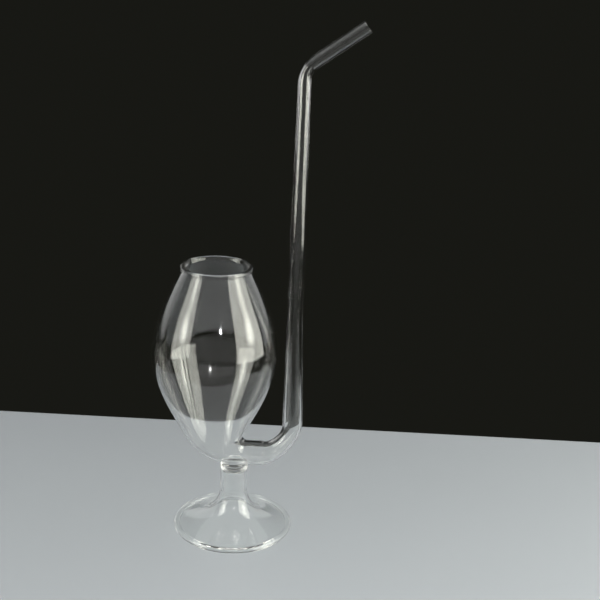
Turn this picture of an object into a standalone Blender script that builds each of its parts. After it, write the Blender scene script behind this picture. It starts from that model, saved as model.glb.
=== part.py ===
"""Stemmed sipping glass with a built-in glass straw.

The glass stands on a hollow trumpet foot. Its egg-shaped bowl tapers at the bottom into a wide side arm,
which turns upwards and is sealed to a narrow straw. The straw rises past the mouth of the bowl and bends
outwards into a mouthpiece. Everything is clear borosilicate glass, worked in a flame.

Frame: +Z is up, the straw is towards +X, and the origin is under the middle of the object's box.
The pieces are first made about the foot's own axis, and moved together at the end.
"""
import math

import bmesh
import bpy
from mathutils import Matrix, Vector

# Fits
JOINT_GAP = 0.0003              # clearance left at each flame seal

# Foot and stem
FOOT_DIAMETER = 0.0720
FOOT_RIM_THICKNESS = 0.0036     # height and width of the rounded rim bead
FOOT_GLASS = 0.0018             # wall of the trumpet
FOOT_SLOPE = 0.30               # slope of the foot's top at its edge
FOOT_SPREAD = 0.53              # share of the foot's radius that the gentle outer part takes up
FLARE_HEIGHT = 0.0240           # where the trumpet turns into the plain stem
FLARE_LEAN = 0.0014             # how far the flare leans out as it leaves the stem
FLARE_REACH = 0.42              # share of its fall that the steep upper part takes up
STEM_DIAMETER = 0.0163
STEM_WALL = 0.0016
STEM_TOP = 0.0388               # underside of the knop
KNOP_OVERHANG = 0.0004          # how far the knop's bead stands proud of the stem
KNOP_HEIGHT = 0.0032
KNOP_PAD_DIAMETER = 0.0124      # gather of glass between the knop and the bowl
KNOP_PAD_HEIGHT = 0.0035        # before it is hollowed to the bowl's underside
KNOP_TOP = STEM_TOP + JOINT_GAP + KNOP_HEIGHT

# Side arm, where it leaves the bowl
ARM_DIAMETER = 0.0149
ARM_WALL = 0.0014
ARM_AXIS_HEIGHT = KNOP_TOP + ARM_DIAMETER / 2
CROTCH_RADIUS = 0.0030          # inner fillet between the bowl and the arm

# Bowl
BOWL_AXIS_X = -0.0128           # the bowl hangs to one side of the stem
BOWL_DIAMETER = 0.0744
TAIL_DIAMETER = 0.0356          # where the egg begins to turn into the side arm
TAIL_SLOPE = 0.50               # how fast the radius shrinks there, per unit of height
TAIL_ANGLE = math.atan(TAIL_SLOPE)
TAIL_HEIGHT = ARM_AXIS_HEIGHT + ARM_DIAMETER / 2 + CROTCH_RADIUS * (1 + math.sin(TAIL_ANGLE))
TAIL_TOP_REACH = 0.36           # how long the outline keeps its slope below the egg
TAIL_END_REACH = 0.40           # how long before the outlet it runs nearly level
TAIL_END_SLOPE = 0.10           # how much it sags there
LOWER_HEIGHT = 0.0505           # from there up to the widest level
SHOULDER_HEIGHT = 0.0524        # from the widest level up to the neck's top edge
BELLY_HEIGHT = TAIL_HEIGHT + LOWER_HEIGHT
NECK_HEIGHT = BELLY_HEIGHT + SHOULDER_HEIGHT
NECK_DIAMETER = 0.0400
SHOULDER_SLOPE = 0.50           # how fast the radius grows below the neck, per unit of height
BOWL_WALL = 0.0015
LIP_THICKNESS = 0.0028          # bead of glass round the mouth
LIP_OVERHANG = 0.0011           # how far the bead stands proud of the neck

# Rest of the side arm
ELBOW_DIAMETER = 0.0119         # after the elbow
ELBOW_REACH = 0.0178            # width that the elbow takes up
ELBOW_RISE = 0.0200             # height that it gains
ELBOW_FLATTENING = 0.13         # share of its depth that the bent tube loses
ELBOW_TIGHTNESS = 0.44          # lengths of the elbow curve's handles, as shares of its reach and rise
ARM_CLEARANCE = 0.00415         # between the bowl's widest level and the arm beside it
ELBOW_X = BOWL_AXIS_X + BOWL_DIAMETER / 2 + ARM_CLEARANCE + ELBOW_DIAMETER / 2
UPRIGHT_HEIGHT = 0.0802         # from the elbow up to the seal
ARM_TOP = ARM_AXIS_HEIGHT + ELBOW_RISE + UPRIGHT_HEIGHT

# Seal and straw
SEAL_LENGTH = 0.0094            # remelted ring that joins the arm and the straw
SEAL_SWELL = 0.0002             # how much it stands proud of the tubes in its middle
STRAW_X = ELBOW_X - 0.0012      # the arm leans towards the bowl a little as it rises
STRAW_DIAMETER = 0.0088         # at the seal
STRAW_WALL = 0.0010
SIP_DIAMETER = 0.0074           # at the bend and along the mouthpiece
STRAW_BOTTOM = ARM_TOP + JOINT_GAP + SEAL_LENGTH + JOINT_GAP
STRAW_HEIGHT = 0.1213           # from there up to where its axis crosses the mouthpiece's
BEND_HEIGHT = STRAW_BOTTOM + STRAW_HEIGHT
BEND_RADIUS = 0.0130
BEND_FLATTENING = 0.15
SIP_ANGLE = math.radians(35.5)  # mouthpiece above level
SIP_LENGTH = 0.0405             # from the crossing of the axes to the tip

# Fineness of the solids
BOWL_SIDES = 36
TUBE_SIDES = 20
STRAW_SIDES = 16
FOOT_SIDES = 48
STEM_SIDES = 32

# One clear glass, a shade different in each piece so that they can be told apart
SHADES = {
    "bowl": (0.84, 0.89, 0.90, 1.0),
    "lip_ring": (0.90, 0.91, 0.88, 1.0),
    "side_arm": (0.83, 0.90, 0.87, 1.0),
    "straw_seal": (0.88, 0.90, 0.86, 1.0),
    "straw": (0.86, 0.89, 0.91, 1.0),
    "knop": (0.91, 0.92, 0.86, 1.0),
    "stem": (0.87, 0.90, 0.90, 1.0),
    "foot": (0.85, 0.89, 0.87, 1.0),
    "foot_rim": (0.89, 0.92, 0.91, 1.0),
}
GLASS_ROUGHNESS = 0.02
GLASS_IOR = 1.47


def clear_scene():
    for item in list(bpy.data.objects):
        bpy.data.objects.remove(item, do_unlink=True)


def glass(name):
    material = bpy.data.materials.new(name + "_glass")
    material.use_nodes = True
    shader = material.node_tree.nodes["Principled BSDF"]
    shader.inputs["Base Color"].default_value = SHADES[name]
    shader.inputs["Roughness"].default_value = GLASS_ROUGHNESS
    shader.inputs["Metallic"].default_value = 0.0
    shader.inputs["IOR"].default_value = GLASS_IOR
    return material


def finish(name, builder):
    """Turn a bmesh into a named, smooth-shaded object of its own glass."""
    bmesh.ops.recalc_face_normals(builder, faces=builder.faces)
    mesh = bpy.data.meshes.new(name)
    builder.to_mesh(mesh)
    builder.free()
    mesh.shade_smooth()
    mesh.set_sharp_from_angle(angle=math.radians(40))
    piece = bpy.data.objects.new(name, mesh)
    bpy.context.scene.collection.objects.link(piece)
    if name in SHADES:
        mesh.materials.append(glass(name))
    return piece


def ease(start, end, start_slope, end_slope, t):
    """Cubic from start to end; the slopes are per unit of t."""
    a = 2 * t**3 - 3 * t**2 + 1
    b = t**3 - 2 * t**2 + t
    c = t**3 - t**2
    return start * a + end * (1 - a) + start_slope * b + end_slope * c


def bezier(p0, p1, p2, p3, t):
    u = 1 - t
    return p0 * u**3 + p1 * (3 * u * u * t) + p2 * (3 * u * t * t) + p3 * t**3


def steps(count, start=0.0, end=1.0):
    """Evenly spaced values from start to end, both included."""
    return [start + (end - start) * i / count for i in range(count + 1)]


class Section:
    """A cross-section standing on the XZ plane: its middle, its depth in that plane and its width."""

    def __init__(self, middle, outward, radius, flatten=0.0):
        self.middle = middle
        self.outward = outward.normalized()
        self.radius = radius
        self.flatten = flatten

    @classmethod
    def between(cls, inner, outer):
        """The round section whose diameter runs from one outline point to another."""
        return cls((inner + outer) / 2, outer - inner, (outer - inner).length / 2)

    def matrix(self, offset):
        across = Vector((0, 1, 0))
        depth = (self.radius + offset) * (1 - self.flatten)
        width = (self.radius + offset) * (1 + self.flatten / 3)
        normal = self.outward.cross(across)
        turn = Matrix((self.outward, across, normal)).transposed().to_4x4()
        return Matrix.Translation(self.middle) @ turn @ Matrix.Diagonal((depth, width, 1, 1))


def ring(builder, section, offset, sides):
    made = bmesh.ops.create_circle(builder, segments=sides, radius=1.0, matrix=section.matrix(offset))
    return list(dict.fromkeys(edge for vert in made["verts"] for edge in vert.link_edges))


def skin(builder, sections, offset, sides):
    """One side of a tube's wall, facing away from its axis, with the edges of its two open ends."""
    rings = [ring(builder, section, offset, sides) for section in sections]
    faces = []
    for here, there in zip(rings, rings[1:]):
        faces += bmesh.ops.bridge_loops(builder, edges=here + there)["faces"]
    bmesh.ops.recalc_face_normals(builder, faces=faces)
    return faces, rings[0], rings[-1]


def tube(name, sections, wall, sides):
    """A hollow tube through the sections, open at both ends."""
    builder = bmesh.new()
    outer_start, outer_end = skin(builder, sections, 0.0, sides)[1:]
    bore, inner_start, inner_end = skin(builder, sections, -wall, sides)
    bmesh.ops.reverse_faces(builder, faces=bore)
    bmesh.ops.bridge_loops(builder, edges=outer_start + inner_start)
    bmesh.ops.bridge_loops(builder, edges=outer_end + inner_end)
    return finish(name, builder)


def turned(name, profile, sides, closed=True):
    """A profile of (radius, height) points turned round the foot's axis."""
    builder = bmesh.new()
    verts = [builder.verts.new((radius, 0.0, height)) for radius, height in profile]
    ends = verts[1:] + verts[:1] if closed else verts[1:]
    edges = [builder.edges.new(pair) for pair in zip(verts, ends)]
    bmesh.ops.spin(builder, geom=verts + edges, axis=(0, 0, 1), cent=(0, 0, 0), angle=math.tau,
                   steps=sides, use_merge=True)
    bmesh.ops.remove_doubles(builder, verts=builder.verts, dist=1e-6)
    return finish(name, builder)


def bead(name, middle_radius, middle_height, thickness, points, sides, shift_x=0.0):
    """A round ring of glass with a small flat underneath."""
    corner = thickness / 2 / math.cos(math.pi / points)
    angles = [math.tau * (i + 0.5) / points - math.pi / 2 for i in range(points)]
    profile = []
    for angle in angles:
        radius = middle_radius + corner * math.cos(angle)
        profile.append((radius, middle_height + corner * math.sin(angle)))
    piece = turned(name, profile, sides)
    piece.data.transform(Matrix.Translation((shift_x, 0, 0)))
    return piece


def bowl_sections():
    """From the neck down through the egg, then round the crotch to the arm's outlet."""
    belly = BOWL_DIAMETER / 2
    neck = NECK_DIAMETER / 2
    tail = TAIL_DIAMETER / 2
    shoulder_rise = NECK_HEIGHT - BELLY_HEIGHT
    belly_drop = BELLY_HEIGHT - TAIL_HEIGHT
    levels = []
    for t in steps(11):
        radius = ease(neck, belly, SHOULDER_SLOPE * shoulder_rise, 0.0, t)
        levels.append((NECK_HEIGHT - shoulder_rise * t, radius))
    for t in steps(10)[1:]:
        radius = ease(belly, tail, 0.0, -TAIL_SLOPE * belly_drop, t)
        levels.append((BELLY_HEIGHT - belly_drop * t, radius))
    left = Vector((-1, 0, 0))
    sections = [Section(Vector((BOWL_AXIS_X, 0, height)), left, radius) for height, radius in levels]

    inner_start = Vector((BOWL_AXIS_X + tail, 0, TAIL_HEIGHT))
    to_centre = Vector((math.cos(TAIL_ANGLE), 0, -math.sin(TAIL_ANGLE)))
    centre = inner_start + to_centre * CROTCH_RADIUS
    outer_start = Vector((BOWL_AXIS_X - tail, 0, TAIL_HEIGHT))
    outer_end = Vector((centre.x, 0, ARM_AXIS_HEIGHT - ARM_DIAMETER / 2))
    drop = (outer_start - outer_end).length
    start_handle = outer_start + Vector((TAIL_SLOPE, 0, -1)).normalized() * drop * TAIL_TOP_REACH
    end_handle = outer_end + Vector((-1, 0, -TAIL_END_SLOPE)) * drop * TAIL_END_REACH
    for angle in steps(11, -TAIL_ANGLE, math.pi / 2)[1:]:
        t = (angle + TAIL_ANGLE) / (math.pi / 2 + TAIL_ANGLE)
        inner = centre - Vector((math.cos(angle), 0, math.sin(angle))) * CROTCH_RADIUS
        outer = bezier(outer_start, start_handle, end_handle, outer_end, t)
        sections.append(Section.between(inner, outer))
    return sections


def arm_sections(outlet_x):
    """Level stretch, elbow, and the tapering upright that meets the straw's seal."""
    down = Vector((0, 0, -1))
    start = Vector((outlet_x + JOINT_GAP, 0, ARM_AXIS_HEIGHT))
    elbow_start = Vector((ELBOW_X - ELBOW_REACH, 0, ARM_AXIS_HEIGHT))
    elbow_end = Vector((ELBOW_X, 0, ARM_AXIS_HEIGHT + ELBOW_RISE))
    level_handle = elbow_start + Vector((ELBOW_REACH * ELBOW_TIGHTNESS, 0, 0))
    upright_handle = elbow_end - Vector((0, 0, ELBOW_RISE * ELBOW_TIGHTNESS))
    sections = [Section(start, down, ARM_DIAMETER / 2)]
    for t in steps(9):
        middle = bezier(elbow_start, level_handle, upright_handle, elbow_end, t)
        ahead = bezier(elbow_start, level_handle, upright_handle, elbow_end, t + 0.001) - middle
        outward = Vector((ahead.z, 0, -ahead.x))
        radius = ease(ARM_DIAMETER / 2, ELBOW_DIAMETER / 2, ELBOW_DIAMETER - ARM_DIAMETER, 0.0, t)
        sections.append(Section(middle, outward, radius, ELBOW_FLATTENING * math.sin(math.pi * t)))
    right = Vector((1, 0, 0))
    for t in steps(6)[1:]:
        height = elbow_end.z + (ARM_TOP - elbow_end.z) * t
        middle = Vector((ease(elbow_end.x, STRAW_X, 0.0, 0.0, t), 0, height))
        radius = ease(ELBOW_DIAMETER / 2, STRAW_DIAMETER / 2, 0.0, 0.0, t)
        sections.append(Section(middle, right, radius))
    return sections


def straw_sections():
    """Upright tube, bend and mouthpiece."""
    right = Vector((1, 0, 0))
    turn = math.pi / 2 - SIP_ANGLE
    bend_start_height = BEND_HEIGHT - BEND_RADIUS * math.tan(turn / 2)
    sections = []
    for t in steps(4):
        height = STRAW_BOTTOM + (bend_start_height - STRAW_BOTTOM) * t
        radius = ease(STRAW_DIAMETER / 2, SIP_DIAMETER / 2, 0.0, 0.0, t)
        sections.append(Section(Vector((STRAW_X, 0, height)), right, radius))
    centre = Vector((STRAW_X + BEND_RADIUS, 0, bend_start_height))
    for t in steps(7)[1:]:
        angle = turn * t
        inward = Vector((math.cos(angle), 0, -math.sin(angle)))
        flatten = BEND_FLATTENING * math.sin(math.pi * t)
        sections.append(Section(centre - inward * BEND_RADIUS, inward, SIP_DIAMETER / 2, flatten))
    along = Vector((math.cos(SIP_ANGLE), 0, math.sin(SIP_ANGLE)))
    inward = Vector((math.sin(SIP_ANGLE), 0, -math.cos(SIP_ANGLE)))
    crossing = Vector((STRAW_X, 0, BEND_HEIGHT))
    straight_start = BEND_RADIUS * math.tan(turn / 2)
    for t in steps(3)[1:]:
        distance = straight_start + (SIP_LENGTH - straight_start) * t
        sections.append(Section(crossing + along * distance, inward, SIP_DIAMETER / 2))
    return sections


def foot_profile():
    """Outer and inner outlines of the trumpet, from the stem down to the rim bead."""
    rim_inner = FOOT_DIAMETER / 2 - FOOT_RIM_THICKNESS
    edge_radius = rim_inner - JOINT_GAP
    edge_height = (FOOT_RIM_THICKNESS + FOOT_GLASS) / 2
    top = Vector((STEM_DIAMETER / 2, 0, FLARE_HEIGHT))
    edge = Vector((edge_radius, 0, edge_height))
    fall = FLARE_HEIGHT - edge_height
    top_handle = top + Vector((FLARE_LEAN, 0, -fall * FLARE_REACH))
    edge_handle = edge + Vector((-1, 0, FOOT_SLOPE)) * edge_radius * FOOT_SPREAD
    outer = [bezier(top, top_handle, edge_handle, edge, t) for t in steps(9)]
    inner = []
    for i, point in enumerate(outer):
        before = outer[max(i - 1, 0)]
        after = outer[min(i + 1, len(outer) - 1)]
        slope = (after - before).normalized()
        wall = STEM_WALL + (FOOT_GLASS - STEM_WALL) * i / (len(outer) - 1)
        inner.append(point + Vector((slope.z, 0, -slope.x)) * wall)
    inner[0] = Vector((STEM_DIAMETER / 2 - STEM_WALL, 0, FLARE_HEIGHT))
    inner[-1] = Vector((edge_radius, 0, edge_height - FOOT_GLASS))
    return [(point.x, point.z) for point in outer + inner[::-1]]


def make_knop(underside):
    """A solid bead with a pad of glass on top, hollowed to the underside of the bowl and the arm."""
    middle = KNOP_TOP - KNOP_HEIGHT / 2
    radius = STEM_DIAMETER / 2 + KNOP_OVERHANG
    pad = KNOP_PAD_DIAMETER / 2
    swell = KNOP_HEIGHT / 2
    profile = [(0.0, middle - swell)]
    for angle in steps(6, -math.pi / 2, math.pi / 2):
        profile.append((radius - swell + swell * math.cos(angle), middle + swell * math.sin(angle)))
    pad_top = KNOP_TOP + KNOP_PAD_HEIGHT
    profile += [(pad, KNOP_TOP), (pad, pad_top), (0.0, pad_top)]
    knop = turned("knop", profile, STEM_SIDES, closed=False)

    builder = bmesh.new()
    bowl_end, arm_end = skin(builder, underside, JOINT_GAP, BOWL_SIDES)[1:]
    bmesh.ops.holes_fill(builder, edges=bowl_end + arm_end)
    cutter = finish("bowl_clearance", builder)
    cutter.hide_render = True
    cutter.display_type = "WIRE"
    cut = knop.modifiers.new("fit_under_bowl", "BOOLEAN")
    cut.operation = "DIFFERENCE"
    cut.solver = "EXACT"
    cut.object = cutter
    return [knop, cutter]


def centre_over_base(pieces):
    """Move every piece alike, so that the origin is under the middle of the object's box."""
    across = [vert.co.x for piece in pieces if not piece.hide_render for vert in piece.data.vertices]
    middle = (min(across) + max(across)) / 2
    for piece in pieces:
        piece.location.x = -middle


def build():
    clear_scene()
    bowl = bowl_sections()
    arm = arm_sections(bowl[-1].middle.x)
    seal = []
    for t in steps(4):
        middle = Vector((STRAW_X, 0, ARM_TOP + JOINT_GAP + SEAL_LENGTH * t))
        radius = STRAW_DIAMETER / 2 + SEAL_SWELL * math.sin(math.pi * t)
        seal.append(Section(middle, Vector((1, 0, 0)), radius))
    rim_middle = FOOT_DIAMETER / 2 - FOOT_RIM_THICKNESS / 2
    lip_middle = NECK_DIAMETER / 2 + LIP_OVERHANG - LIP_THICKNESS / 2
    stem_outer = STEM_DIAMETER / 2
    stem_inner = stem_outer - STEM_WALL
    stem_bottom = FLARE_HEIGHT + JOINT_GAP
    stem_profile = [(stem_outer, stem_bottom), (stem_outer, STEM_TOP), (stem_inner, STEM_TOP),
                    (stem_inner, stem_bottom)]

    pieces = [
        tube("bowl", bowl, BOWL_WALL, BOWL_SIDES),
        bead("lip_ring", lip_middle, NECK_HEIGHT + JOINT_GAP + LIP_THICKNESS / 2, LIP_THICKNESS, 10,
             BOWL_SIDES, BOWL_AXIS_X),
        tube("side_arm", arm, ARM_WALL, TUBE_SIDES),
        tube("straw_seal", seal, STRAW_WALL, TUBE_SIDES),
        tube("straw", straw_sections(), STRAW_WALL, STRAW_SIDES),
        turned("stem", stem_profile, STEM_SIDES),
        turned("foot", foot_profile(), FOOT_SIDES),
        bead("foot_rim", rim_middle, FOOT_RIM_THICKNESS / 2, FOOT_RIM_THICKNESS, 12, FOOT_SIDES),
    ]
    tail = [section for section in bowl if section.middle.z < TAIL_HEIGHT + BOWL_DIAMETER / 4]
    pieces += make_knop(tail + arm[:2])
    centre_over_base(pieces)


build()
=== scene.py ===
"""A hand-blown sipping glass with a built-in straw, empty, on a pale table in front of the dark."""
import math

import bmesh
import bpy
from mathutils import Matrix, Vector, noise


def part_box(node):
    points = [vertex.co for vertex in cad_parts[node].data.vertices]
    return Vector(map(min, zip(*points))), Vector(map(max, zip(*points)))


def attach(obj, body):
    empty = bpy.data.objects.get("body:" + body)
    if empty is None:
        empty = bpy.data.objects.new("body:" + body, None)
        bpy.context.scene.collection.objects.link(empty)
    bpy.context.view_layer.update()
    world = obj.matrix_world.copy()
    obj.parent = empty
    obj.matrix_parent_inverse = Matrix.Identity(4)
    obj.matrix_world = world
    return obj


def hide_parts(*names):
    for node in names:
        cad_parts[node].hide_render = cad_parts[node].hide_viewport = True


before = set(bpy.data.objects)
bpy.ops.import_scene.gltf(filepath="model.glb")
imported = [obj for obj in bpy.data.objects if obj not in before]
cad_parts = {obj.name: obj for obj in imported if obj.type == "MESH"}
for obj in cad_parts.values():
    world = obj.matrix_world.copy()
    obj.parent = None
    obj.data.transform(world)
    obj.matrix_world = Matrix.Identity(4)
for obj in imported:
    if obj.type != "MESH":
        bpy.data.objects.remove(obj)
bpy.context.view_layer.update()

# ---- Table, studio and camera -----------------------------------------------------------------
# A plain table top, cool pale grey with a slight sheen, whose far edge shows against the dark.
# Two soft boxes of two bulbs each stand left and right, with pale side walls behind them, a dim room in
# front and a small lamp by the camera.

foot_low, foot_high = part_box("foot_rim")
foot_x = (foot_low.x + foot_high.x) / 2


def table_paint():
    """Satin lacquer: a fine orange peel, and a broad unevenness in its tone."""
    paint = bpy.data.materials.new("table_paint")
    paint.use_nodes = True
    nodes = paint.node_tree.nodes
    links = paint.node_tree.links
    shader = nodes["Principled BSDF"]
    place = nodes.new("ShaderNodeTexCoord")
    broad = nodes.new("ShaderNodeTexNoise")
    broad.inputs["Scale"].default_value = 3.0
    broad.inputs["Detail"].default_value = 4.0
    tone = nodes.new("ShaderNodeValToRGB")
    tone.color_ramp.elements[0].color = (0.348, 0.370, 0.400, 1)
    tone.color_ramp.elements[1].color = (0.386, 0.410, 0.444, 1)
    peel = nodes.new("ShaderNodeTexNoise")
    peel.inputs["Scale"].default_value = 900.0
    relief = nodes.new("ShaderNodeBump")
    relief.inputs["Strength"].default_value = 0.10
    relief.inputs["Distance"].default_value = 0.0002
    for texture in (broad, peel):
        links.new(place.outputs["Object"], texture.inputs["Vector"])
    links.new(broad.outputs["Fac"], tone.inputs["Fac"])
    links.new(tone.outputs["Color"], shader.inputs["Base Color"])
    links.new(peel.outputs["Fac"], relief.inputs["Height"])
    links.new(relief.outputs["Normal"], shader.inputs["Normal"])
    shader.inputs["Roughness"].default_value = 0.50
    shader.inputs["Specular IOR Level"].default_value = 0.2
    shader.inputs["Coat Weight"].default_value = 0.25
    shader.inputs["Coat Roughness"].default_value = 0.03
    return paint


def make_table():
    left, right = foot_x - 0.29, foot_x + 0.31
    front, back = -0.185, 0.1485
    thickness = 0.022
    edge_rounding = 0.0015
    turn = Matrix.Rotation(math.radians(-1.3), 3, "Z")
    builder = bmesh.new()
    bmesh.ops.create_cube(builder, size=1.0)
    bmesh.ops.scale(builder, vec=(right - left, back - front, thickness), verts=builder.verts)
    middle = Vector(((left + right) / 2, (front + back) / 2, -thickness / 2))
    bmesh.ops.translate(builder, vec=middle, verts=builder.verts)
    bmesh.ops.bevel(builder, geom=builder.edges, offset=edge_rounding, affect="EDGES", segments=3,
                    profile=0.5, material=-1)
    bmesh.ops.rotate(builder, cent=(foot_x, back, 0), matrix=turn, verts=builder.verts)
    mesh = bpy.data.meshes.new("table_top")
    builder.to_mesh(mesh)
    builder.free()
    table = bpy.data.objects.new("table_top", mesh)
    mesh.materials.append(table_paint())
    bpy.context.scene.collection.objects.link(table)


def soft_light(name, place, aim, width, height, brightness, glows=(), lean=0.0,
               colour=(1.0, 1.0, 1.0)):
    """A rectangular light; brightness is what its face shows, and lean turns it in its own plane.

    Each glow is (share of width, share of height, extra brightness, spread): a bulb behind the cloth.
    """
    lamp = bpy.data.lights.new(name, "AREA")
    lamp.shape = "RECTANGLE"
    lamp.size = width
    lamp.size_y = height
    lamp.energy = math.pi * width * height
    lamp.color = colour
    lamp.use_nodes = True
    nodes = lamp.node_tree.nodes
    links = lamp.node_tree.links
    face = nodes.new("ShaderNodeNewGeometry")
    total = nodes.new("ShaderNodeValue")
    total.outputs["Value"].default_value = brightness
    so_far = total.outputs["Value"]
    for across, upwards, extra, spread in glows:
        from_bulb = nodes.new("ShaderNodeVectorMath")
        from_bulb.operation = "SUBTRACT"
        from_bulb.inputs[1].default_value = (across, upwards, 0.0)
        in_metres = nodes.new("ShaderNodeVectorMath")
        in_metres.operation = "MULTIPLY"
        in_metres.inputs[1].default_value = (width, height, 0.0)
        distance = nodes.new("ShaderNodeVectorMath")
        distance.operation = "LENGTH"
        fade = nodes.new("ShaderNodeMapRange")
        fade.interpolation_type = "SMOOTHERSTEP"
        fade.inputs["From Max"].default_value = spread
        fade.inputs["To Min"].default_value = extra
        fade.inputs["To Max"].default_value = 0.0
        add = nodes.new("ShaderNodeMath")
        add.operation = "ADD"
        links.new(face.outputs["Parametric"], from_bulb.inputs[0])
        links.new(from_bulb.outputs["Vector"], in_metres.inputs[0])
        links.new(in_metres.outputs["Vector"], distance.inputs[0])
        links.new(distance.outputs["Value"], fade.inputs["Value"])
        links.new(fade.outputs["Result"], add.inputs[0])
        links.new(so_far, add.inputs[1])
        so_far = add.outputs["Value"]
    links.new(so_far, nodes["Emission"].inputs["Strength"])
    light = bpy.data.objects.new(name, lamp)
    turn = (Vector(aim) - Vector(place)).to_track_quat("-Z", "Y").to_matrix().to_4x4()
    light.matrix_world = Matrix.Translation(place) @ turn @ Matrix.Rotation(lean, 4, "Z")
    light.visible_camera = False
    bpy.context.scene.collection.objects.link(light)


def make_studio():
    warm_white = (1.0, 1.0, 0.91)
    warmer_white = (1.0, 1.0, 0.90)
    low_left_bulb = (0.48, 0.41, 8.0, 0.17)
    high_left_bulb = (0.49, 0.775, 5.0, 0.17)
    low_right_bulb = (0.64, 0.355, 9.0, 0.18)
    high_right_bulb = (0.65, 0.645, 6.0, 0.18)
    soft_light("soft_box_left", (foot_x - 0.62, -0.34, 0.34), (foot_x, -0.34, 0.34), 0.54, 0.60, 3.3,
               glows=(low_left_bulb, high_left_bulb), lean=math.radians(8), colour=warm_white)
    soft_light("soft_box_right", (foot_x + 0.65, -0.28, 0.37), (foot_x, -0.28, 0.37), 0.84, 0.72, 4.2,
               glows=(low_right_bulb, high_right_bulb), colour=warmer_white)
    soft_light("ceiling", (foot_x, -1.40, 1.60), (foot_x, -1.40, 0.0), 6.0, 5.2, 0.50)
    soft_light("room_in_front", (foot_x, -3.00, 0.0), (foot_x, 0.0, 0.0), 6.0, 2.0, 0.2)
    for name, side in (("wall_left", -0.90), ("wall_right", 0.90)):
        soft_light(name, (foot_x + side, 1.50, 0.37), (foot_x, 1.50, 0.37), 2.40, 0.70, 0.55)
    bulb_radius = 0.013
    lamp = bpy.data.lights.new("lamp_by_camera", "POINT")
    lamp.shadow_soft_size = bulb_radius
    lamp.energy = 5.0
    light = bpy.data.objects.new("lamp_by_camera", lamp)
    light.location = (foot_x + 0.145, -0.616, 0.360)
    light.visible_camera = False
    bpy.context.scene.collection.objects.link(light)

    world = bpy.data.worlds.new("dark_backdrop")
    world.use_nodes = True
    world.node_tree.nodes["Background"].inputs["Color"].default_value = (0.0090, 0.0092, 0.0072, 1)
    bpy.context.scene.world = world


def make_camera():
    sensor_width = 36.0
    focal_length = 67.1
    height = 0.355
    distance = 0.616
    sideways = 0.0359
    pitch = math.radians(18.51)
    roll = math.radians(2.49)
    lens = bpy.data.cameras.new("camera")
    lens.sensor_width = sensor_width
    lens.lens = focal_length
    lens.clip_start = 0.01
    camera = bpy.data.objects.new("camera", lens)
    place = Matrix.Translation((foot_x + sideways, -distance, height))
    tilt = Matrix.Rotation(math.pi / 2 - pitch, 4, "X")
    camera.matrix_world = place @ tilt @ Matrix.Rotation(roll, 4, "Z")
    bpy.context.scene.collection.objects.link(camera)
    bpy.context.scene.camera = camera


make_table()
make_studio()
make_camera()

scene = bpy.context.scene
scene.view_settings.view_transform = "Standard"
scene.cycles.max_bounces = 40
scene.cycles.transmission_bounces = 40
scene.cycles.glossy_bounces = 24
scene.cycles.transparent_max_bounces = 64
scene.cycles.caustics_reflective = False
scene.cycles.caustics_refractive = False

# ---- Bowl -------------------------------------------------------------------------------------
# Blown from wide tube of clear borosilicate: an egg, open at the top, whose bottom is drawn out to one
# side into a tail for the arm. The blower's hand leaves long soft waves, and the flame a clean polish.


def flame_worked_surface():
    """Node group: lengthwise cords, slow ripples, and a faint film of handling on clear glass."""
    group = bpy.data.node_groups.new("flame_worked_surface", "ShaderNodeTree")
    for name, value in (("Cord Spacing", 0.006), ("Cord Depth", 0.1), ("Ripple Size", 0.015),
                        ("Ripple Depth", 0.1), ("Film", 0.02)):
        socket = group.interface.new_socket(name=name, in_out="INPUT", socket_type="NodeSocketFloat")
        socket.default_value = value
    group.interface.new_socket(name="Normal", in_out="OUTPUT", socket_type="NodeSocketVector")
    group.interface.new_socket(name="Roughness", in_out="OUTPUT", socket_type="NodeSocketFloat")
    nodes = group.nodes
    links = group.links
    given = nodes.new("NodeGroupInput")
    result = nodes.new("NodeGroupOutput")
    place = nodes.new("ShaderNodeTexCoord")

    def pattern(size_socket, stretch, detail):
        """Noise whose features are as wide as the socket says, and stretch times as tall."""
        pull = nodes.new("ShaderNodeMapping")
        pull.inputs["Scale"].default_value = (1.0, 1.0, 1.0 / stretch)
        per_metre = nodes.new("ShaderNodeMath")
        per_metre.operation = "DIVIDE"
        per_metre.inputs[0].default_value = 1.0
        texture = nodes.new("ShaderNodeTexNoise")
        texture.inputs["Detail"].default_value = detail
        texture.inputs["Roughness"].default_value = 0.4
        links.new(place.outputs["Object"], pull.inputs["Vector"])
        links.new(pull.outputs["Vector"], texture.inputs["Vector"])
        links.new(given.outputs[size_socket], per_metre.inputs[1])
        links.new(per_metre.outputs["Value"], texture.inputs["Scale"])
        return texture.outputs["Fac"]

    def relief(height, depth_socket, before=None):
        bump = nodes.new("ShaderNodeBump")
        bump.inputs["Distance"].default_value = 0.001
        links.new(height, bump.inputs["Height"])
        links.new(given.outputs[depth_socket], bump.inputs["Strength"])
        if before is not None:
            links.new(before, bump.inputs["Normal"])
        return bump.outputs["Normal"]

    rippled = relief(pattern("Ripple Size", 1.6, 1.0), "Ripple Depth")
    corded = relief(pattern("Cord Spacing", 14.0, 1.0), "Cord Depth", rippled)
    links.new(corded, result.inputs["Normal"])

    clean_roughness = 0.030
    smear = pattern("Ripple Size", 0.7, 4.0)
    spread = nodes.new("ShaderNodeMapRange")
    spread.inputs["From Min"].default_value = 0.45
    spread.inputs["From Max"].default_value = 0.75
    spread.inputs["To Min"].default_value = clean_roughness
    links.new(smear, spread.inputs["Value"])
    links.new(given.outputs["Film"], spread.inputs["To Max"])
    links.new(spread.outputs["Result"], result.inputs["Roughness"])
    return group


surface_group = flame_worked_surface()


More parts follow.
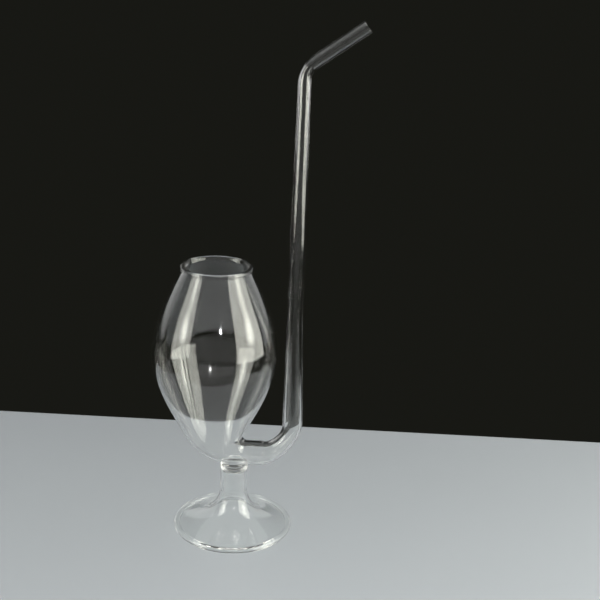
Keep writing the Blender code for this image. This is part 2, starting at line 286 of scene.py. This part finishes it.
def clear_glass(name, tint, cord_spacing, cord_depth, ripple_size, ripple_depth, film):
    """Borosilicate, and lamps shine on through it instead of leaving a hard black shadow."""
    glass = bpy.data.materials.new(name)
    glass.use_nodes = True
    nodes = glass.node_tree.nodes
    links = glass.node_tree.links
    shader = nodes["Principled BSDF"]
    shader.inputs["Base Color"].default_value = (*tint, 1)
    shader.inputs["Transmission Weight"].default_value = 1.0
    shader.inputs["Metallic"].default_value = 0.0
    shader.inputs["IOR"].default_value = 1.474
    surface = nodes.new("ShaderNodeGroup")
    surface.node_tree = surface_group
    surface.inputs["Cord Spacing"].default_value = cord_spacing
    surface.inputs["Cord Depth"].default_value = cord_depth
    surface.inputs["Ripple Size"].default_value = ripple_size
    surface.inputs["Ripple Depth"].default_value = ripple_depth
    surface.inputs["Film"].default_value = film
    links.new(surface.outputs["Normal"], shader.inputs["Normal"])
    links.new(surface.outputs["Roughness"], shader.inputs["Roughness"])
    passing = nodes.new("ShaderNodeBsdfTransparent")
    passing.inputs["Color"].default_value = (0.992, 0.996, 0.993, 1)
    ray = nodes.new("ShaderNodeLightPath")
    either = nodes.new("ShaderNodeMath")
    either.operation = "MAXIMUM"
    choice = nodes.new("ShaderNodeMixShader")
    links.new(ray.outputs["Is Shadow Ray"], either.inputs[0])
    links.new(ray.outputs["Is Diffuse Ray"], either.inputs[1])
    links.new(either.outputs["Value"], choice.inputs["Fac"])
    links.new(shader.outputs["BSDF"], choice.inputs[1])
    links.new(passing.outputs["BSDF"], choice.inputs[2])
    links.new(choice.outputs["Shader"], nodes["Material Output"].inputs["Surface"])
    return glass


def fused_seam():
    """The inside of a flame seal, where the two glasses are one: nothing there bends the light."""
    seam = bpy.data.materials.new("fused_seam")
    seam.use_nodes = True
    nodes = seam.node_tree.nodes
    nodes.remove(nodes["Principled BSDF"])
    clear = nodes.new("ShaderNodeBsdfTransparent")
    seam.node_tree.links.new(clear.outputs["BSDF"], nodes["Material Output"].inputs["Surface"])
    return seam


seam_material = fused_seam()


def finish(builder, name, node, glass):
    """Close the piece, name it, give it its glass and let it stand for its CAD solid."""
    bmesh.ops.recalc_face_normals(builder, faces=builder.faces)
    mesh = bpy.data.meshes.new(name)
    builder.to_mesh(mesh)
    builder.free()
    mesh.shade_smooth()
    mesh.set_sharp_from_angle(angle=math.radians(50))
    mesh.materials.append(glass)
    mesh.materials.append(seam_material)
    piece = bpy.data.objects.new(name, mesh)
    bpy.context.scene.collection.objects.link(piece)
    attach(piece, "root")
    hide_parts(node)
    return piece


def eased(start, end, start_slope, end_slope, t):
    """Cubic from start to end; the slopes are per unit of t."""
    a = 2 * t**3 - 3 * t**2 + 1
    b = t**3 - 2 * t**2 + t
    c = t**3 - t**2
    return start * a + end * (1 - a) + start_slope * b + end_slope * c


def curved(p0, p1, p2, p3, t):
    """Bezier from p0 to p3."""
    u = 1 - t
    return p0 * u**3 + p1 * (3 * u * u * t) + p2 * (3 * u * t * t) + p3 * t**3


def between(count, first=0):
    """Even shares of the way from 0 to 1, the last included."""
    return [i / count for i in range(first, count + 1)]


def glass_tube(stations, wall, sides, wobble, wave, seed):
    """A hollow tube through stations of (middle, outward, radius, flattening), with its ends as seams.

    The walls wander inwards by about wobble over lengths of about wave, and settle towards both ends.
    """
    builder = bmesh.new()
    last = len(stations) - 1

    def ring(index, inset, shift):
        middle, outward, radius, flat = stations[index]
        across = Vector((0, 1, 0))
        turn = Matrix((outward, across, outward.cross(across))).transposed().to_4x4()
        size = Matrix.Diagonal(((radius - inset) * (1 - flat), (radius - inset) * (1 + flat / 3), 1, 1))
        made = bmesh.ops.create_circle(builder, segments=sides, radius=1.0,
                                       matrix=Matrix.Translation(middle) @ turn @ size)
        settle = min(1.0, index / 10, (last - index) / 10)
        for vert in made["verts"]:
            amount = noise.noise(vert.co / wave + Vector((seed, shift, seed * shift)))
            vert.co += (vert.co - middle).normalized() * (amount - 1.0) * wobble * settle
        return list(dict.fromkeys(edge for vert in made["verts"] for edge in vert.link_edges))

    def skin(inset, shift):
        """One side of the wall, facing away from the axis, with the edges of its two open ends."""
        rings = [ring(index, inset, shift) for index in range(last + 1)]
        faces = []
        for here, there in zip(rings, rings[1:]):
            faces += bmesh.ops.bridge_loops(builder, edges=here + there)["faces"]
        bmesh.ops.recalc_face_normals(builder, faces=faces)
        return faces, rings[0], rings[-1]

    outside, outer_start, outer_end = skin(0.0, 0.0)
    bore, inner_start, inner_end = skin(wall, 7.0)
    bmesh.ops.reverse_faces(builder, faces=bore)
    for outer, inner in ((outer_start, inner_start), (outer_end, inner_end)):
        for face in bmesh.ops.bridge_loops(builder, edges=outer + inner)["faces"]:
            face.material_index = 1
    return builder


bowl_low, bowl_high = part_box("bowl")
belly_radius = (bowl_high.y - bowl_low.y) / 2
bowl_x = bowl_low.x + belly_radius
arm_low, arm_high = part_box("side_arm")
arm_radius = (arm_high.y - arm_low.y) / 2
arm_height = arm_low.z + arm_radius
neck_height = bowl_high.z
neck_radius = 0.0200
shoulder_height = 0.0524
belly_height = neck_height - shoulder_height
crotch_radius = 0.0030
tail_slope = 0.50
tail_height = arm_height + arm_radius + crotch_radius * (1 + math.sin(math.atan(tail_slope)))
tail_radius = 0.0178
shoulder_slope = 0.50
bowl_wall = 0.0015


def bowl_stations():
    left = Vector((-1, 0, 0))
    rise = neck_height - belly_height
    drop = belly_height - tail_height
    stations = []
    for t in between(80):
        radius = eased(neck_radius, belly_radius, shoulder_slope * rise, 0.0, t)
        stations.append((Vector((bowl_x, 0, neck_height - rise * t)), left, radius, 0.0))
    for t in between(75, 1):
        radius = eased(belly_radius, tail_radius, 0.0, -tail_slope * drop, t)
        stations.append((Vector((bowl_x, 0, belly_height - drop * t)), left, radius, 0.0))

    opening = math.atan(tail_slope)
    inner_start = Vector((bowl_x + tail_radius, 0, tail_height))
    centre = inner_start + Vector((math.cos(opening), 0, -math.sin(opening))) * crotch_radius
    outer_start = Vector((bowl_x - tail_radius, 0, tail_height))
    outer_end = Vector((centre.x, 0, arm_height - arm_radius))
    span = (outer_start - outer_end).length
    start_handle = outer_start + Vector((tail_slope, 0, -1)).normalized() * span * 0.36
    end_handle = outer_end + Vector((-1, 0, -0.10)) * span * 0.40
    for t in between(70, 1):
        angle = -opening + (math.pi / 2 + opening) * t
        inner = centre - Vector((math.cos(angle), 0, math.sin(angle))) * crotch_radius
        outer = curved(outer_start, start_handle, end_handle, outer_end, t)
        across = outer - inner
        stations.append(((inner + outer) / 2, across.normalized(), across.length / 2, 0.0))
    return stations


bowl_line = bowl_stations()
bowl_glass = clear_glass("blown_bowl_glass", (0.992, 0.996, 0.992), cord_spacing=0.009, cord_depth=0.02,
                         ripple_size=0.022, ripple_depth=0.02, film=0.05)
bowl_builder = glass_tube(bowl_line, bowl_wall, sides=144, wobble=0.00010, wave=0.030, seed=3.1)
finish(bowl_builder, "blown_bowl", "bowl", bowl_glass)

# ---- Lip --------------------------------------------------------------------------------------
# A bead of borosilicate wound round the mouth of the bowl and melted smooth, a little wider than the
# neck. It is fused to the neck below it.

lip_low, lip_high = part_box("lip_ring")


def turned(profile, axis_x, sides, seams):
    """Turn a closed outline round an upright axis; faces where a seam measures nought are seams."""
    builder = bmesh.new()
    verts = [builder.verts.new((radius, 0, height)) for radius, height in profile]
    edges = [builder.edges.new(pair) for pair in zip(verts, verts[1:] + verts[:1])]
    bmesh.ops.spin(builder, geom=verts + edges, axis=(0, 0, 1), cent=(0, 0, 0), angle=math.tau,
                   steps=sides, use_merge=True)
    for face in builder.faces:
        if any(all(abs(measure(vert.co)) < 2e-6 for vert in face.verts) for measure in seams):
            face.material_index = 1
    bmesh.ops.translate(builder, vec=(axis_x, 0, 0), verts=builder.verts)
    return builder


def make_lip():
    outer = (lip_high.x - lip_low.x) / 2
    top = lip_high.z
    half = (top - neck_height) / 2
    middle = neck_height + half
    bead_radius = outer - half
    inner_neck = neck_radius - bowl_wall
    profile = [(inner_neck, neck_height), (neck_radius, neck_height)]
    for t in between(22):
        angle = math.radians(-50 + 250 * t)
        profile.append((bead_radius + half * math.cos(angle), middle + half * math.sin(angle)))
    seams = [lambda co: co.z - neck_height]
    glass = clear_glass("lip_glass", (0.990, 0.996, 0.991), cord_spacing=0.012, cord_depth=0.03,
                        ripple_size=0.010, ripple_depth=0.04, film=0.07)
    finish(turned(profile, bowl_x, 144, seams), "mouth_lip", "lip_ring", glass)


make_lip()

# ---- Side arm ---------------------------------------------------------------------------------
# Wider tube sealed to the bowl's tail, bent up in the flame, and drawn thinner as it rises. The bend
# has flattened it a little, and the drawing has left cords along it.

straw_low, straw_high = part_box("straw")
seal_low, seal_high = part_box("straw_seal")
arm_wall = 0.0014
straw_wall = 0.0010
straw_x = (seal_low.x + seal_high.x) / 2
straw_radius = 0.0044
elbow_flattening = 0.13
elbow_tightness = 0.44


def arm_stations():
    outlet = bowl_line[-1][0]
    down = Vector((0, 0, -1))
    right = Vector((1, 0, 0))
    elbow_x = straw_x + 0.0012
    elbow_radius = 0.00595
    elbow_reach = 0.0178
    elbow_rise = 0.0200
    elbow_start = Vector((elbow_x - elbow_reach, 0, outlet.z))
    elbow_end = Vector((elbow_x, 0, outlet.z + elbow_rise))
    run = elbow_start.x - outlet.x
    level_handle = elbow_start + Vector(((elbow_end.x - elbow_start.x) * elbow_tightness, 0, 0))
    upright_handle = elbow_end - Vector((0, 0, elbow_rise * elbow_tightness))
    stations = [(outlet + Vector((run * t, 0, 0)), down, arm_radius, 0.0) for t in between(14)[:-1]]
    for t in between(60):
        middle = curved(elbow_start, level_handle, upright_handle, elbow_end, t)
        ahead = curved(elbow_start, level_handle, upright_handle, elbow_end, t + 0.001) - middle
        outward = Vector((ahead.z, 0, -ahead.x)).normalized()
        radius = eased(arm_radius, elbow_radius, 2 * (elbow_radius - arm_radius), 0.0, t)
        stations.append((middle, outward, radius, elbow_flattening * math.sin(math.pi * t)))
    for t in between(110, 1):
        height = elbow_end.z + (seal_low.z - elbow_end.z) * t
        middle = Vector((eased(elbow_end.x, straw_x, 0.0, 0.0, t), 0, height))
        radius = eased(elbow_radius, straw_radius, 0.0, 0.0, t)
        stations.append((middle, right, radius, 0.0))
    return stations


arm_glass = clear_glass("side_arm_glass", (0.991, 0.996, 0.991), cord_spacing=0.0022, cord_depth=0.03,
                        ripple_size=0.014, ripple_depth=0.03, film=0.06)
arm_builder = glass_tube(arm_stations(), arm_wall, sides=80, wobble=0.00005, wave=0.014, seed=5.7)
finish(arm_builder, "bent_side_arm", "side_arm", arm_glass)

# ---- Seal between arm and straw ---------------------------------------------------------------
# The side arm and the straw, both borosilicate tube, were melted together end to end here. That left
# the wall thicker and uneven for about a centimetre.


def seal_stations():
    right = Vector((1, 0, 0))
    swell = (seal_high.x - seal_low.x) / 2 - straw_radius
    stations = []
    for t in between(44):
        height = seal_low.z + (straw_low.z - seal_low.z) * t
        radius = straw_radius + swell * math.sin(math.pi * t)
        stations.append((Vector((straw_x, 0, height)), right, radius, 0.0))
    return stations


seal_glass = clear_glass("remelted_seal_glass", (0.990, 0.995, 0.990), cord_spacing=0.0030,
                         cord_depth=0.04, ripple_size=0.0035, ripple_depth=0.03, film=0.07)
seal_builder = glass_tube(seal_stations(), straw_wall, sides=80, wobble=0.00004, wave=0.0040, seed=9.2)
finish(seal_builder, "remelted_seal", "straw_seal", seal_glass)

# ---- Straw ------------------------------------------------------------------------------------
# Thin drawn tube, heated and bent by hand at the top, and cut and fire-polished at its open tip.
# The flame seals it to the ring below.

sip_radius = 0.0037
sip_angle = math.radians(35.5)


def straw_stations():
    bend_height = straw_low.z + 0.1213
    bend_radius = 0.0130
    bend_flattening = 0.15
    sip_length = 0.0405
    right = Vector((1, 0, 0))
    turn = math.pi / 2 - sip_angle
    tangent = bend_radius * math.tan(turn / 2)
    stations = []
    for t in between(150):
        height = straw_low.z + (bend_height - tangent - straw_low.z) * t
        radius = eased(straw_radius, sip_radius, 0.0, 0.0, t)
        stations.append((Vector((straw_x, 0, height)), right, radius, 0.0))
    centre = Vector((straw_x + bend_radius, 0, bend_height - tangent))
    for t in between(40, 1):
        inward = Vector((math.cos(turn * t), 0, -math.sin(turn * t)))
        flat = bend_flattening * math.sin(math.pi * t)
        stations.append((centre - inward * bend_radius, inward, sip_radius, flat))
    along = Vector((math.cos(sip_angle), 0, math.sin(sip_angle)))
    inward = Vector((math.sin(sip_angle), 0, -math.cos(sip_angle)))
    crossing = Vector((straw_x, 0, bend_height))
    for t in between(40, 1):
        distance = tangent + (sip_length - tangent) * t
        stations.append((crossing + along * distance, inward, sip_radius, 0.0))
    return stations


def polish_tip(builder):
    """Round the cut end over, as the flame does, and keep its ring as real glass."""
    rounding = 0.00038
    tip = straw_line[-1][0]
    ends = {face for face in builder.faces if face.material_index == 1
            and (face.calc_center_median() - tip).length < 2 * sip_radius}
    for face in ends:
        face.material_index = 0
    circles = [edge for edge in builder.edges if len(ends.intersection(edge.link_faces)) == 1]
    bmesh.ops.bevel(builder, geom=circles, offset=rounding, affect="EDGES", segments=4,
                    profile=0.5, material=-1)


straw_line = straw_stations()
straw_glass = clear_glass("straw_glass", (0.992, 0.996, 0.993), cord_spacing=0.0016, cord_depth=0.03,
                          ripple_size=0.016, ripple_depth=0.02, film=0.06)
straw_builder = glass_tube(straw_line, straw_wall, sides=64, wobble=0.00003, wave=0.018, seed=1.4)
polish_tip(straw_builder)
finish(straw_builder, "bent_straw", "straw", straw_glass)

# ---- Knop -------------------------------------------------------------------------------------
# A solid bead of borosilicate between stem and bowl, which closes the top of the stem. Its pad is
# melted on to the bowl's underside.

knop_low, knop_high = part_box("knop")
stem_low, stem_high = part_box("stem")
stem_radius = (stem_high.x - stem_low.x) / 2
stem_wall = 0.0016


def make_knop():
    outer = (knop_high.x - knop_low.x) / 2
    bottom = stem_high.z
    half = 0.0017
    pad = 0.0062
    pad_top = 0.0475
    middle = bottom + half
    bore = stem_radius - stem_wall
    profile = [(0.0, bottom + 0.0009), (0.0030, bottom + 0.0007), (bore - 0.0012, bottom + 0.0002)]
    profile += [(bore, bottom), (stem_radius, bottom)]
    for t in between(18, 1):
        angle = math.radians(-75 + 165 * t)
        profile.append((outer - half + half * math.cos(angle), middle + half * math.sin(angle)))
    profile += [(pad + 0.0004, middle + half + 0.0001), (pad, middle + half + 0.0006)]
    profile += [(pad, pad_top), (0.0, pad_top)]
    builder = bmesh.new()
    verts = [builder.verts.new((radius, 0, height)) for radius, height in profile]
    edges = [builder.edges.new(pair) for pair in zip(verts, verts[1:])]
    bmesh.ops.spin(builder, geom=verts + edges, axis=(0, 0, 1), cent=(0, 0, 0), angle=math.tau,
                   steps=96, use_merge=True)
    bmesh.ops.remove_doubles(builder, verts=builder.verts, dist=1e-6)
    for face in builder.faces:
        flat = all(abs(vert.co.z - bottom) < 1e-6 for vert in face.verts)
        if flat and face.calc_center_median().xy.length > bore:
            face.material_index = 1
    bmesh.ops.translate(builder, vec=(foot_x, 0, 0), verts=builder.verts)
    glass = clear_glass("knop_glass", (0.985, 0.993, 0.984), cord_spacing=0.010, cord_depth=0.04,
                        ripple_size=0.004, ripple_depth=0.10, film=0.07)
    return finish(builder, "solid_knop", "knop", glass)


knop = make_knop()


def melt_under_bowl():
    """Cut the pad to the bowl's outer skin, with a hair of clearance."""
    clearance = 0.00003
    reach = 0.075
    builder = bmesh.new()
    tail = [station for station in bowl_line if station[0].z < reach]
    rings = []
    for middle, outward, radius, flat in tail:
        across = Vector((0, 1, 0))
        turn = Matrix((outward, across, outward.cross(across))).transposed().to_4x4()
        size = Matrix.Diagonal((radius + clearance, radius + clearance, 1, 1))
        made = bmesh.ops.create_circle(builder, segments=144, radius=1.0,
                                       matrix=Matrix.Translation(middle) @ turn @ size)
        rings.append(list(dict.fromkeys(edge for vert in made["verts"] for edge in vert.link_edges)))
    for here, there in zip(rings, rings[1:]):
        bmesh.ops.bridge_loops(builder, edges=here + there)
    bmesh.ops.holes_fill(builder, edges=rings[0] + rings[-1])
    bmesh.ops.recalc_face_normals(builder, faces=builder.faces)
    mesh = bpy.data.meshes.new("bowl_skin")
    builder.to_mesh(mesh)
    builder.free()
    skin = bpy.data.objects.new("bowl_skin", mesh)
    bpy.context.scene.collection.objects.link(skin)
    cut = knop.modifiers.new("melt_under_bowl", "BOOLEAN")
    cut.operation = "DIFFERENCE"
    cut.solver = "EXACT"
    cut.object = skin
    shaped = knop.evaluated_get(bpy.context.evaluated_depsgraph_get())
    fitted = bpy.data.meshes.new_from_object(shaped)
    knop.modifiers.clear()
    knop.data = fitted
    bpy.data.objects.remove(skin, do_unlink=True)


melt_under_bowl()

# ---- Stem -------------------------------------------------------------------------------------
# A short length of borosilicate tube, fused to the knop above. It is open downwards into the foot,
# which was spun out of the same tube.

foot_node_low, foot_node_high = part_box("foot")
flare_height = foot_node_high.z


def make_stem():
    outer = [(stem_radius, stem_high.z + (flare_height - stem_high.z) * t) for t in between(20)]
    inner = [(radius - stem_wall, height) for radius, height in reversed(outer)]
    seams = [lambda co: co.z - stem_high.z, lambda co: co.z - flare_height]
    glass = clear_glass("stem_glass", (0.990, 0.996, 0.991), cord_spacing=0.003, cord_depth=0.04,
                        ripple_size=0.012, ripple_depth=0.04, film=0.06)
    finish(turned(outer + inner, foot_x, 112, seams), "hollow_stem", "stem", glass)


make_stem()

# ---- Foot -------------------------------------------------------------------------------------
# The end of the stem's tube, softened in the flame and spun out into a trumpet. It is hollow
# underneath, and its edge carries the rim.

foot_glass_wall = 0.0018
rim_outer = (foot_high.x - foot_low.x) / 2
rim_half = (foot_high.z - foot_low.z) / 2
disc_edge = (foot_node_high.x - foot_node_low.x) / 2


def make_foot():
    edge_height = rim_half + foot_glass_wall / 2
    top = Vector((stem_radius, 0, flare_height))
    edge = Vector((disc_edge, 0, edge_height))
    top_handle = top + Vector((0.0014, 0, (edge_height - flare_height) * 0.42))
    edge_handle = edge + Vector((-disc_edge * 0.53, 0, disc_edge * 0.53 * 0.30))
    steps = 70
    outer = [curved(top, top_handle, edge_handle, edge, t) for t in between(steps)]
    inner = []
    for index, point in enumerate(outer):
        slope = (outer[min(index + 1, steps)] - outer[max(index - 1, 0)]).normalized()
        wall = stem_wall + (foot_glass_wall - stem_wall) * index / steps
        inner.append(point + Vector((slope.z, 0, -slope.x)) * wall)
    inner[0] = Vector((stem_radius - stem_wall, 0, flare_height))
    inner[-1] = Vector((disc_edge, 0, edge_height - foot_glass_wall))
    profile = [(point.x, point.z) for point in outer + inner[::-1]]
    seams = [lambda co: co.z - flare_height, lambda co: co.xy.length - disc_edge]
    glass = clear_glass("foot_glass", (0.990, 0.996, 0.991), cord_spacing=0.012, cord_depth=0.03,
                        ripple_size=0.012, ripple_depth=0.04, film=0.06)
    finish(turned(profile, foot_x, 144, seams), "trumpet_foot", "foot", glass)


make_foot()

# ---- Foot rim ---------------------------------------------------------------------------------
# The edge of the foot, folded and melted into a thick bead of the same borosilicate. The whole glass
# stands on it.


def make_rim():
    top = rim_half + foot_glass_wall / 2
    bottom = rim_half - foot_glass_wall / 2
    start = math.pi - math.asin(foot_glass_wall / 2 / rim_half)
    middle = rim_outer - rim_half
    profile = [(disc_edge, bottom), (disc_edge, top)]
    for t in between(36):
        angle = start - (2 * start) * t
        profile.append((middle + rim_half * math.cos(angle), rim_half + rim_half * math.sin(angle)))
    seams = [lambda co: co.xy.length - disc_edge]
    glass = clear_glass("foot_rim_glass", (0.984, 0.993, 0.985), cord_spacing=0.020, cord_depth=0.02,
                        ripple_size=0.008, ripple_depth=0.04, film=0.07)
    finish(turned(profile, foot_x, 144, seams), "rolled_foot_rim", "foot_rim", glass)


make_rim()
